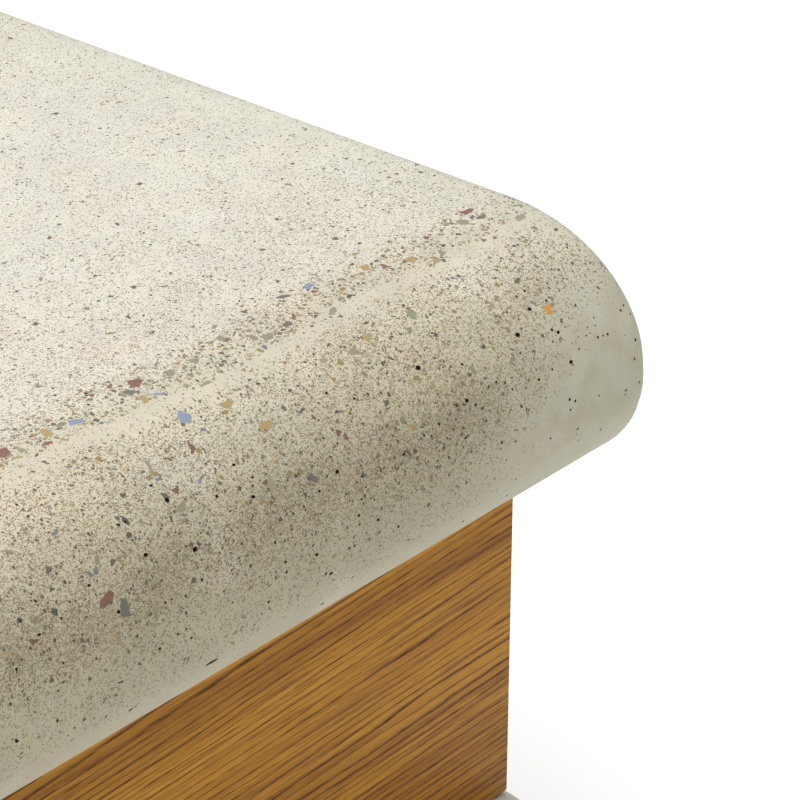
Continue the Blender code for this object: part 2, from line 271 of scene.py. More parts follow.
PEBBLES = Grading(
    spacing=7.0 * MM, joint=0.11, cover=0.94, top=0.0, row=0.46, nose=0.055, low=0.0,
    colours=(
        (0.0, "84826A"), (0.22, "755044"), (0.34, "9C875C"), (0.48, "7A8498"), (0.54, "63615A"), (0.68, "C08A42"),
        (0.72, "8E8A6E"), (0.86, "664A3C"), (0.93, "ADA68A"),
    ),
)

# Colour of the paste round the section: the flat underside, the ground top, the bare band, the nose and under it.
# Round the nose these colours are darker and greener: partly the cast skin, partly painted shade.
SECTION_COLOURS = (
    (0.00, "BAB7A8"), (0.06, "C3C0B6"), (0.28, "C3BFB3"), (0.33, "C2BDAE"), (0.365, "B6B2A0"), (0.395, "BAB5A3"),
    (0.435, "BEB9A4"), (0.48, "B3AE98"), (0.55, "A7A28B"), (0.62, "A49F86"), (0.70, "A9A58C"), (0.79, "B6B29E"),
    (0.88, "C2BEAC"), (1.00, "BAB7A5"),
)
# The turn, in degrees, at the first and the last of those colours.
SECTION_TURNS = (-90.0, 180.0)


class Stain(NamedTuple):
    """Soft blots of one colour in the paste.

    Their size, detail and seed make the noise, low and high are where a blot begins and is full, and share is how
    strongly it covers.
    """

    size: float
    detail: float
    seed: float
    low: float
    high: float
    share: float
    colour: str
    mode: str = "MIX"


# Pale clouds of laitance, a trace of warm fines, and bloom.
STAINS = (
    Stain(size=26 * MM, detail=5.0, seed=7.0, low=0.30, high=0.72, share=0.50, colour="DCD9CD", mode="SOFT_LIGHT"),
    Stain(size=42 * MM, detail=3.0, seed=12.0, low=0.50, high=0.72, share=0.12, colour="D3AE90"),
    Stain(size=60 * MM, detail=4.0, seed=21.0, low=0.55, high=0.70, share=0.30, colour="DCD9CE"),
)


class Zones(NamedTuple):
    """Where a point of the slab lies.

    Turn is its angle round the section, in degrees. Each other value is about 1 inside its zone and fades to 0
    outside it. Inland is 1 but where the ends are bare of stone.
    """

    turn: Socket
    top: Socket
    row: Socket
    nose: Socket
    low: Socket
    inland: Socket
    end: Socket
    end_face: Socket


@dataclass(frozen=True)
class CastConcrete(Finish):
    """White-cement concrete with river sand, cast in a smooth mould and ground on its trowelled top.

    The eye reads it by its stone: fine sand dots over the ground top, a row of cut pebbles along each edge where the
    grinding goes deepest, a bare band of paste beyond it, then specks and pinholes that thin out down the nose.

    Attributes:
        slab: Name of the slab it is for.
        top: Height of the slab's top.
        thickness: The slab's thickness.
        flat_half_depth: Distance from the middle to where the nose starts.
        nose: How far the nose projects.
        half_length: Distance from the middle to the slab's end.
        brightness: Multiplies the colour, as two castings never match exactly.
        stoniness: How much stone shows, against a slab whose top is ground.
    """

    slab: str
    top: float
    thickness: float
    flat_half_depth: float
    nose: float
    half_length: float
    brightness: float = 1.0
    stoniness: float = 1.0

    # Where each band begins and ends, in degrees of turn, as the two ends of its fade.
    top_ends = (-6.0, 13.0)
    top_thickens = (-66.0, -15.0)
    row_begins, row_ends = (-10.0, 4.0), (10.0, 15.0)
    nose_begins, nose_ends = (11.0, 26.0), (62.0, 94.0)
    low_begins, low_ends = (50.0, 70.0), (100.0, 118.0)
    wander, wander_size = 14.0, 90 * MM

    # The smooth end: how far it reaches, how much farther under the nose, and how bare of stone it is.
    end_reach, end_lean, end_sway = 100 * MM, 65 * MM, 2 * MM
    end_leans = (30.0, 100.0)
    end_bares, end_bareness = (30.0, 60.0), (0.25, 1.0)
    end_face_depth, end_face_bareness = (12 * MM, 2 * MM), 0.92
    # Near the end the paste is painted paler in blotches, which is painted light.
    end_colour, end_face_colour, end_face_share = "BEBDAE", "BEBBAD", 0.85
    mottle_size, mottle_share = 14 * MM, (0.20, 0.55)

    # Stones and pinholes: how they gather in patches, how their outlines bend, and the share of cells with a hole.
    patch_size, patch_share = 22 * MM, (0.68, 1.22)
    crumple_size, crumple = 2.5 * MM, 1.6 * MM
    bent_from = 2 * MM
    pinhole_spacing = 3.2 * MM
    pinhole_radius, pinhole_growth = 0.12, 0.14
    pinhole_shares = (0.006, 0.01, 0.06, 0.16)
    # Pinholes are painted near black: painted shade inside each hole.
    pinhole_colour = "1E1B13"

    # The paste's own grain, and its gloss: cut stone and the ground top are smoother than cast paste.
    grain_size, grain_contrast = 1.1 * MM, 0.26
    cast_roughness, cut_smoother, ground_smoother = 0.80, 0.20, 0.12
    skin_size, skin_height = 2.2 * MM, 0.12
    soft_edge = 0.04

    @property
    def title(self) -> str:
        """Name of the material."""
        return f"white_cement_concrete_ground_{self.slab}"

    def turn(self, tree: Tree, place: Node) -> Socket:
        """The angle round the section: 0 where the nose starts, 90 at its tip, below 0 on the flat top.

        Args:
            tree: The node tree.
            place: The node that gives the point's coordinates.

        Returns:
            The angle in degrees.
        """
        middle = self.top - self.thickness / 2
        height = number(tree, "DIVIDE", number(tree, "SUBTRACT", place.outputs["Z"], middle), self.thickness / 2)
        out = number(tree, "SUBTRACT", number(tree, "ABSOLUTE", place.outputs["Y"]), self.flat_half_depth)
        angle = number(tree, "ARCTAN2", number(tree, "DIVIDE", out, self.nose), height)
        return number(tree, "DEGREES", angle)

    def clouds(self, tree: Tree, where: Socket, size: float, detail: float, seed: float) -> Socket:
        """Soft noise whose blots are about this size."""
        inputs = {"Vector": where, "W": seed, "Scale": 1 / size, "Detail": detail, "Roughness": 0.55}
        return add(tree, "TexNoise", inputs, noise_dimensions="4D").outputs["Fac"]

    def zones(self, tree: Tree, spot: Socket) -> Zones:
        """Work out the bands that run along the slab.

        Args:
            tree: The node tree.
            spot: The point's place.

        Returns:
            The zones at that point.
        """
        place = add(tree, "SeparateXYZ", {0: spot})
        sway = self.clouds(tree, spot, self.wander_size, 2.0, 3.0)
        sway = number(tree, "MULTIPLY_ADD", sway, self.wander, -self.wander / 2)
        turn = number(tree, "ADD", self.turn(tree, place), sway)
        from_end = number(tree, "SUBTRACT", self.half_length, number(tree, "ABSOLUTE", place.outputs["X"]))
        top = between(tree, turn, *self.top_ends, 1.0, 0.0)
        top = number(tree, "MULTIPLY", top, between(tree, turn, *self.top_thickens, 0.7, 1.2))
        bands = []
        for begins, ends in (
            (self.row_begins, self.row_ends), (self.nose_begins, self.nose_ends), (self.low_begins, self.low_ends),
        ):
            band = number(tree, "MULTIPLY", between(tree, turn, *begins), between(tree, turn, *ends, 1.0, 0.0))
            bands.append(band)
        lean = between(tree, turn, *self.end_leans, 0.0, self.end_lean)
        end = number(tree, "SUBTRACT", number(tree, "MULTIPLY_ADD", sway, self.end_sway, from_end), lean)
        end = between(tree, end, self.end_reach, 0.0)
        end_face = between(tree, from_end, *self.end_face_depth)
        bare = number(tree, "MULTIPLY", end, between(tree, turn, *self.end_bares, *self.end_bareness))
        bare = number(tree, "MAXIMUM", bare, number(tree, "MULTIPLY", end_face, self.end_face_bareness))
        return Zones(turn, top, *bands, number(tree, "SUBTRACT", 1.0, bare), end, end_face)

    def share(self, tree: Tree, zones: Zones, top: float, row: float, nose: float, low: float) -> Socket:
        """Add up how much of something shows at a point.

        Args:
            tree: The node tree.
            zones: The zones at that point.
            top: How much of it the ground top has.
            row: How much the row along its edge has.
            nose: How much the upper nose has.
            low: How much the lower nose has.

        Returns:
            The sum's socket.
        """
        total = number(tree, "MULTIPLY", zones.top, top)
        for zone, amount in ((zones.row, row), (zones.nose, nose), (zones.low, low)):
            total = number(tree, "MULTIPLY_ADD", zone, amount, total)
        return total

    def stones(
        self, tree: Tree, where: Socket, spacing: float, share: Socket, joint: float,
    ) -> tuple[Socket, Socket]:
        """Broken stones in a share of the cells of a pattern, with a joint of paste round each.

        Args:
            tree: The node tree.
            where: The pattern's coordinates.
            spacing: Width of the cells.
            share: The share of the cells that hold a stone, from 0 to 1.
            joint: Narrowest joint of paste round a stone, as a share of the cell.

        Returns:
            The stones' mask, and a random number for each stone.
        """
        inputs = {"Vector": where, "Scale": 1 / spacing}
        cell = add(tree, "TexVoronoi", inputs)
        edge = add(tree, "TexVoronoi", inputs, feature="DISTANCE_TO_EDGE")
        dice = add(tree, "SeparateColor", {0: cell.outputs["Color"]})
        chosen = number(tree, "LESS_THAN", dice.outputs[0], share)
        wanted = number(tree, "MULTIPLY_ADD", dice.outputs[1], joint * 1.5, joint)
        inside = number(tree, "SUBTRACT", edge.outputs["Distance"], wanted)
        return number(tree, "MULTIPLY", chosen, between(tree, inside, 0.0, self.soft_edge)), dice.outputs[2]

    def pinholes(self, tree: Tree, where: Socket, share: Socket) -> Socket:
        """Round pinholes, each of its own size.

        Args:
            tree: The node tree.
            where: The pattern's coordinates.
            share: The share of the pattern's cells that hold one, from 0 to 1.

        Returns:
            The pinholes' mask.
        """
        cell = add(tree, "TexVoronoi", {"Vector": where, "Scale": 1 / self.pinhole_spacing})
        dice = add(tree, "SeparateColor", {0: cell.outputs["Color"]})
        chosen = number(tree, "LESS_THAN", dice.outputs[0], share)
        radius = number(tree, "MULTIPLY_ADD", dice.outputs[1], self.pinhole_growth, self.pinhole_radius)
        inside = number(tree, "SUBTRACT", radius, cell.outputs["Distance"])
        return number(tree, "MULTIPLY", chosen, between(tree, inside, 0.0, self.soft_edge))

    def paste(self, tree: Tree, spot: Socket, zones: Zones) -> Socket:
        """The cement between the stones: warm white where it is ground, darker and greener round the nose that the
        mould shaped, partly its cast skin and partly painted shade.

        Args:
            tree: The node tree.
            spot: The point's place.
            zones: The zones at that point.

        Returns:
            Its colour.
        """
        inputs = {"Value": zones.turn, "From Min": SECTION_TURNS[0], "From Max": SECTION_TURNS[1]}
        # The ramp paints the nose darker: painted shade over the paste's own colour.
        section = add(tree, "MapRange", inputs).outputs["Result"]
        colour = set_stops(add(tree, "ValToRGB", {0: section}), SECTION_COLOURS)
        for stain in STAINS:
            blots = self.clouds(tree, spot, stain.size, stain.detail, stain.seed)
            blots = between(tree, blots, stain.low, stain.high)
            covered = number(tree, "MULTIPLY", blots, stain.share)
            colour = blend(tree, covered, colour, linear(stain.colour), stain.mode)
        # Paler blotches near the end: painted light.
        mottled = between(tree, self.clouds(tree, spot, self.mottle_size, 5.0, 33.0), 0.35, 0.65, *self.mottle_share)
        colour = blend(tree, number(tree, "MULTIPLY", zones.end, mottled), colour, linear(self.end_colour))
        covered = number(tree, "MULTIPLY", zones.end_face, self.end_face_share)
        return blend(tree, covered, colour, linear(self.end_face_colour))

    def paint(self, tree: Tree, shader: Node) -> None:
        """Lay the stones on the paste, finest first, then open the pinholes and paint them near black, which is
        painted shade.

        Args:
            tree: The material's node tree.
            shader: Its Principled shader.
        """
        spot = add(tree, "TexCoord").outputs["Object"]
        zones = self.zones(tree, spot)
        colour = self.paste(tree, spot, zones)
        patchy = between(tree, self.clouds(tree, spot, self.patch_size, 4.0, 17.0), 0.28, 0.72, *self.patch_share)
        bend = add(tree, "TexNoise", {"Vector": spot, "Scale": 1 / self.crumple_size, "Detail": 2.0}).outputs["Color"]
        inputs = {0: bend, 1: (self.crumple,) * 3, 2: spot}
        bent = add(tree, "VectorMath", inputs, operation="MULTIPLY_ADD").outputs[0]
        cut: Any = 0.0
        for grading in (SILT, SAND, GRIT, PEBBLES):
            share = self.share(tree, zones, grading.top, grading.row, grading.nose, grading.low)
            share = number(tree, "MULTIPLY", number(tree, "MULTIPLY", share, patchy), zones.inland)
            share = number(tree, "MULTIPLY", share, self.stoniness)
            where = bent if grading.spacing > self.bent_from else spot
            mask, dice = self.stones(tree, where, grading.spacing, share, grading.joint)
            stone = set_stops(add(tree, "ValToRGB", {0: dice}), grading.colours, "CONSTANT")
            colour = blend(tree, number(tree, "MULTIPLY", mask, grading.cover), colour, stone)
            cut = number(tree, "MAXIMUM", cut, mask)

        holes = self.pinholes(tree, spot, self.share(tree, zones, *self.pinhole_shares))
        # Painted shade: each pinhole is near black.
        colour = blend(tree, holes, colour, linear(self.pinhole_colour))
        grain = self.clouds(tree, spot, self.grain_size, 2.0, 5.0)
        darkest = self.brightness - self.grain_contrast / 2
        grain = number(tree, "MULTIPLY_ADD", grain, self.grain_contrast, darkest)
        grey = add(tree, "CombineColor", {0: grain, 1: grain, 2: grain}).outputs[0]
        tree.links.new(blend(tree, 1.0, colour, grey, "MULTIPLY"), shader.inputs["Base Color"])

        rough = number(tree, "MULTIPLY_ADD", cut, -self.cut_smoother, self.cast_roughness)
        rough = number(tree, "MULTIPLY_ADD", zones.top, -self.ground_smoother, rough)
        tree.links.new(rough, shader.inputs["Roughness"])
        shader.inputs["IOR"].default_value = 1.45
        skin = number(tree, "MULTIPLY", self.clouds(tree, spot, self.skin_size, 4.0, 9.0), self.skin_height)
        inputs = {"Height": number(tree, "SUBTRACT", skin, holes), "Strength": 0.7, "Distance": 0.5 * MM}
        tree.links.new(add(tree, "Bump", inputs).outputs["Normal"], shader.inputs["Normal"])


@dataclass(frozen=True)
class BubbleSkin(Finish):
    """The inside of an air bubble in the concrete: cement skin with the dust it has caught, painted dark as the shade
    inside the bubble.
    """

    blot: float = 0.6 * MM

    @property
    def title(self) -> str:
        """Name of the material."""
        return "cement_skin_dusty_bubble"

    def paint(self, tree: Tree, shader: Node) -> None:
        """Blot the dust over the painted shade of the bubble.

        Args:
            tree: The material's node tree.
            shader: Its Principled shader.
        """
        spot = add(tree, "TexCoord").outputs["Object"]
        dust = add(tree, "TexNoise", {"Vector": spot, "Scale": 1 / self.blot, "Detail": 2.0}).outputs["Fac"]
        # These dark stops are painted shade inside the bubble, with dust blotted over it.
        stops = [(0.3, "26231A"), (0.7, "4A4535")]
        tree.links.new(set_stops(add(tree, "ValToRGB", {0: dust}), stops), shader.inputs["Base Color"])
        tree.links.new(number(tree, "MULTIPLY_ADD", dust, 0.1, 0.85), shader.inputs["Roughness"])


class Streak(NamedTuple):
    """Noise drawn out along the grain: the length and width of its blots, its detail and its seed."""

    length: float
    width: float
    detail: float
    seed: float


@dataclass(frozen=True)
class OiledOak(Finish):
    """European oak, rift-sawn, planed and oiled.

    The eye reads straight growth lines along the board, each a dark row of open pores with clear wood after it, broad
    honey and brown bands, and a low satin sheen.

    Attributes:
        board: Name of the board it is for.
        along_y: Whether the grain runs along Y instead of X.
        shift: Moves the pattern, so that no two boards are the same.
        level: Height that the pattern is centred on.
        heart_height: Height of a dark streak above that level, at the middle of the bench.
        heart_fall: How far the streak falls for each metre along the board.
    """

    board: str
    along_y: bool = False
    shift: float = 0.0
    level: float = 0.0
    heart_height: float = 0.0
    heart_fall: float = 0.0

    # Growth rings: their spacing, how they climb along and across the board, and how far each bow bends them.
    ring_spacing = 4.2 * MM
    rise, lean = 0.035, 0.5
    bows = (
        (Streak(900 * MM, 90 * MM, 1.0, 2.0), 30 * MM),
        (Streak(200 * MM, 15 * MM, 1.0, 5.0), 9 * MM),
        (Streak(55 * MM, 5 * MM, 1.0, 8.0), 2 * MM),
    )

    # What runs along the grain. Real pores are about 0.25 mm wide, and are drawn wider so that they show.
    breaks = Streak(34 * MM, 1.6 * MM, 2.0, 31.0)
    pores = Streak(11 * MM, 0.45 * MM, 1.0, 9.0)
    fibres = Streak(50 * MM, 0.7 * MM, 3.0, 14.0)
    bands = Streak(500 * MM, 20 * MM, 2.0, 21.0)
    browns = Streak(90 * MM, 3.2 * MM, 2.0, 40.0)

    tones = ((0.0, "774812"), (0.25, "905E18"), (0.50, "A97321"), (0.75, "BC8429"), (1.0, "C99134"))
    # The darker colours over those tones, and how strongly each covers.
    heart_stain, brown_stain, ring_stain, pore_stain = (
        ("6E4219", 0.55), ("7E4820", 0.60), ("55300F", 0.92), ("43240C", 0.85),
    )
    tone_per_metre_up = 3.2
    heart_width = (1 * MM, 9 * MM)

    @property
    def title(self) -> str:
        """Name of the material."""
        return f"oiled_oak_rift_sawn_{self.board}"

    def streaks(self, tree: Tree, where: Socket, streak: Streak) -> Socket:
        """Draw one kind of streak.

        Args:
            tree: The node tree.
            where: The pattern's coordinates, with the grain along X.
            streak: What to draw.

        Returns:
            The noise, from 0 to 1.
        """
        scale = (1 / streak.length, 1 / streak.width, 1 / streak.width)
        mapped = add(tree, "Mapping", {"Vector": where, "Scale": scale, "Location": (streak.seed,) * 3})
        inputs = {"Vector": mapped.outputs["Vector"], "Scale": 1.0, "Detail": streak.detail, "Roughness": 0.55}
        return add(tree, "TexNoise", inputs).outputs["Fac"]

    def paint(self, tree: Tree, shader: Node) -> None:
        """Build the growth lines, pores, fibres and broad bands.

        Args:
            tree: The material's node tree.
            shader: Its Principled shader.
        """
        quarter = math.pi / 2 if self.along_y else 0.0
        centred = {"Rotation": (0.0, 0.0, quarter), "Location": (0.0, 0.0, -self.level)}
        centred["Vector"] = add(tree, "TexCoord").outputs["Object"]
        straight = add(tree, "Mapping", centred).outputs["Vector"]
        place = add(tree, "SeparateXYZ", {0: straight})
        moved = {0: straight, 1: (self.shift, self.shift * 0.37, 0.0)}
        grain = add(tree, "VectorMath", moved, operation="ADD").outputs["Vector"]

        height = number(tree, "MULTIPLY_ADD", place.outputs["X"], -self.rise, place.outputs["Z"])
        height = number(tree, "MULTIPLY_ADD", place.outputs["Y"], self.lean, height)
        for bow, reach in self.bows:
            height = number(tree, "MULTIPLY_ADD", self.streaks(tree, grain, bow), reach, height)
        rings = number(tree, "DIVIDE", height, self.ring_spacing)
        phase = number(tree, "FRACT", rings)
        ring = add(tree, "TexWhiteNoise", {"W": number(tree, "FLOOR", rings)}, noise_dimensions="1D").outputs["Value"]

        opened = between(tree, phase, 0.0, 0.10)
        closed = between(tree, phase, 0.12, number(tree, "MULTIPLY_ADD", ring, 0.26, 0.28), 1.0, 0.0)
        broken = between(tree, self.streaks(tree, grain, self.breaks), 0.26, 0.50)
        line = number(tree, "MULTIPLY", number(tree, "MULTIPLY", opened, closed), broken)
        line = number(tree, "MULTIPLY", line, number(tree, "MULTIPLY_ADD", ring, 0.5, 0.5))
        pores = between(tree, self.streaks(tree, grain, self.pores), 0.47, 0.62)
        dashes = number(tree, "MULTIPLY", pores, number(tree, "MULTIPLY_ADD", line, 0.78, 0.22), clamp=True)
        fibres = self.streaks(tree, grain, self.fibres)
        bands = self.streaks(tree, grain, self.bands)
        brown = between(tree, self.streaks(tree, grain, self.browns), 0.48, 0.62)
        brown = number(tree, "MULTIPLY", brown, between(tree, phase, 0.45, 1.0, 1.0, 0.35))

        tone = number(tree, "ADD", between(tree, bands, 0.30, 0.70, 0.29, 0.76), number(tree, "MULTIPLY", ring, 0.14))
        tone = number(tree, "MULTIPLY_ADD", number(tree, "SUBTRACT", fibres, 0.5), 0.9, tone)
        tone = number(tree, "MULTIPLY_ADD", place.outputs["Z"], self.tone_per_metre_up, tone)
        colour = set_stops(add(tree, "ValToRGB", {0: tone}), self.tones)
        # A dark streak along a sloping line at a given height on the board.
        away = number(tree, "MULTIPLY_ADD", place.outputs["X"], self.heart_fall, place.outputs["Z"])
        away = number(tree, "ABSOLUTE", number(tree, "SUBTRACT", away, self.heart_height))
        heart = between(tree, away, *self.heart_width, 1.0, 0.0)
        heart = number(tree, "MULTIPLY", heart, between(tree, bands, 0.2, 0.6))
        for mask, (over, cover) in (
            (heart, self.heart_stain), (brown, self.brown_stain), (line, self.ring_stain), (dashes, self.pore_stain),
        ):
            colour = blend(tree, number(tree, "MULTIPLY", mask, cover), colour, linear(over))
        tree.links.new(colour, shader.inputs["Base Color"])

        rough = number(tree, "MULTIPLY_ADD", dashes, 0.25, number(tree, "MULTIPLY_ADD", fibres, 0.12, 0.46))
        tree.links.new(rough, shader.inputs["Roughness"])
        shader.inputs["Specular IOR Level"].default_value = 0.14
        relief = number(tree, "MULTIPLY_ADD", dashes, -1.0, number(tree, "MULTIPLY", fibres, 0.25))
        inputs = {"Height": relief, "Strength": 0.35, "Distance": 0.25 * MM}
        tree.links.new(add(tree, "Bump", inputs).outputs["Normal"], shader.inputs["Normal"])


@dataclass(frozen=True)
class DippedZinc(Finish):
    """Steel, hot-dip galvanised: dull grey zinc in crystal patches a few millimetres across."""

    patch_size: float = 7 * MM
    grime_size: float = 25 * MM

    @property
    def title(self) -> str:
        """Name of the material."""
        return "hot_dip_galvanised_steel"

    def paint(self, tree: Tree, shader: Node) -> None:
        """Build the zinc's crystal patches.

        Args:
            tree: The material's node tree.
            shader: Its Principled shader.
        """
        spot = add(tree, "TexCoord").outputs["Object"]
        cell = add(tree, "TexVoronoi", {"Vector": spot, "Scale": 1 / self.patch_size})
        dice = add(tree, "SeparateColor", {0: cell.outputs["Color"]}).outputs[0]
        grime = add(tree, "TexNoise", {"Vector": spot, "Scale": 1 / self.grime_size, "Detail": 4.0}).outputs["Fac"]
        tone = number(tree, "MULTIPLY_ADD", grime, 0.5, number(tree, "MULTIPLY", dice, 0.5))
        stops = [(0.2, "8E9395"), (0.5, "A3A8AA"), (0.8, "BBBFC0")]
        tree.links.new(set_stops(add(tree, "ValToRGB", {0: tone}), stops), shader.inputs["Base Color"])
        tree.links.new(number(tree, "MULTIPLY_ADD", dice, 0.18, 0.38), shader.inputs["Roughness"])
        shader.inputs["Metallic"].default_value = 0.9


@dataclass(frozen=True)
class TurnedStainless(Finish):
    """Stainless steel, turned on a lathe: satin, with fine rings.

    Real tool marks are a tenth as far apart, and are drawn coarser so that they show.
    """

    ring_pitch: float = 2.1991 * MM

    @property
    def title(self) -> str:
        """Name of the material."""
        return "stainless_steel_turned"

    def paint(self, tree: Tree, shader: Node) -> None:
        """Build the tool marks.

        Args:
            tree: The material's node tree.
            shader: Its Principled shader.
        """
        spot = add(tree, "TexCoord").outputs["Object"]
        # A wave of scale 1 repeats every tenth of pi.
        scale = math.pi / 10 / self.ring_pitch
        inputs = {"Vector": spot, "Scale": scale, "Distortion": 0.6, "Detail": 2.0}
        wave = add(tree, "TexWave", inputs, bands_direction="Z").outputs["Fac"]
        stops = [(0.0, "A9A7A2"), (1.0, "C9C7C2")]
        tree.links.new(set_stops(add(tree, "ValToRGB", {0: wave}), stops), shader.inputs["Base Color"])
        tree.links.new(number(tree, "MULTIPLY_ADD", wave, 0.10, 0.26), shader.inputs["Roughness"])
        shader.inputs["Metallic"].default_value = 1.0


@dataclass(frozen=True)
class MouldedRubber(Finish):
    """Black EPDM rubber, moulded: matt, with a faint bloom of grey dust."""

    grain: float = 0.8 * MM
    bloom_size: float = 18.18 * MM

    @property
    def title(self) -> str:
        """Name of the material."""
        return "epdm_rubber_moulded"

    def paint(self, tree: Tree, shader: Node) -> None:
        """Build the bloom and the fine moulded grain.

        Args:
            tree: The material's node tree.
            shader: Its Principled shader.
        """
        spot = add(tree, "TexCoord").outputs["Object"]
        bloom = add(tree, "TexNoise", {"Vector": spot, "Scale": 1 / self.bloom_size, "Detail": 5.0}).outputs["Fac"]
        fine = add(tree, "TexNoise", {"Vector": spot, "Scale": 1 / self.grain, "Detail": 2.0}).outputs["Fac"]
        stops = [(0.35, "1C1C1B"), (0.75, "34332F")]
        tree.links.new(set_stops(add(tree, "ValToRGB", {0: bloom}), stops), shader.inputs["Base Color"])
        tree.links.new(number(tree, "MULTIPLY_ADD", bloom, 0.2, 0.62), shader.inputs["Roughness"])
        inputs = {"Height": fine, "Strength": 0.4, "Distance": 0.2 * MM}
        tree.links.new(add(tree, "Bump", inputs).outputs["Normal"], shader.inputs["Normal"])


def finished_object(shape: bmesh.types.BMesh, name: str, finish: Finish, sharp_degrees: float) -> bpy.types.Object:
    """Turn a finished bmesh into an object of the scene.

    Args:
        shape: The mesh, in place in the bench's frame. It is freed.
        name: The piece's name.
        finish: Its material.
        sharp_degrees: Edges sharper than this stay crisp, the rest are shaded smooth.

    Returns:
        The new object.
    """
    mesh = bpy.data.meshes.new(name)
    shape.to_mesh(mesh)
    shape.free()
    mesh.shade_smooth()
    mesh.set_sharp_from_angle(angle=math.radians(sharp_degrees))
    mesh.materials.append(finish.material())
    piece = bpy.data.objects.new(name, mesh)
    bpy.context.scene.collection.objects.link(piece)
    log.info("%s: %d faces, %s", name, len(mesh.polygons), finish.title)
    return piece


def lathe(shape: bmesh.types.BMesh, profile: Iterable[tuple[float, float]], centre: Vector, segments: int) -> None:
    """Turn a profile into a closed solid about a vertical axis.

    Args:
        shape: The mesh that gets it.
        profile: Radius and height of each point, starting and ending on the axis.
        centre: A point on the axis.
        segments: Faces round the axis.
    """
    corners = [shape.verts.new((centre.x + radius, centre.y, z)) for radius, z in profile]
    edges = [shape.edges.new(pair) for pair in zip(corners, corners[1:])]
    bmesh.ops.spin(
        shape, geom=corners + edges, cent=(centre.x, centre.y, 0.0), axis=(0.0, 0.0, 1.0), dvec=(0.0, 0.0, 0.0),
        angle=2 * math.pi, steps=segments, use_merge=True,
    )
    bmesh.ops.remove_doubles(shape, verts=shape.verts, dist=0.001 * MM)


def extruded(outline: Iterable[Sequence[float]], along: Sequence[float]) -> bmesh.types.BMesh:
    """Sweep a flat outline straight into a closed solid.

    Args:
        outline: The outline's corners in order.
        along: How far and which way it is swept.

    Returns:
        The solid, with its faces outwards.
    """
    shape = bmesh.new()
    section = shape.faces.new([shape.verts.new(corner) for corner in outline])
    grown = bmesh.ops.extrude_face_region(shape, geom=[section])
    moved = [item for item in grown["geom"] if isinstance(item, bmesh.types.BMVert)]
    bmesh.ops.translate(shape, vec=along, verts=moved)
    bmesh.ops.recalc_face_normals(shape, faces=shape.faces)
    return shape


def ease(shape: bmesh.types.BMesh, edges: list[bmesh.types.BMEdge], radius: float, segments: int) -> None:
    """Round edges off.

    Args:
        shape: The mesh.
        edges: Its edges to round.
        radius: The rounding's radius.
        segments: Faces across each rounding.
    """
    bmesh.ops.bevel(
        shape, geom=edges, offset=radius, offset_type="OFFSET", segments=segments, profile=0.5, affect="EDGES",
        material=-1,
    )


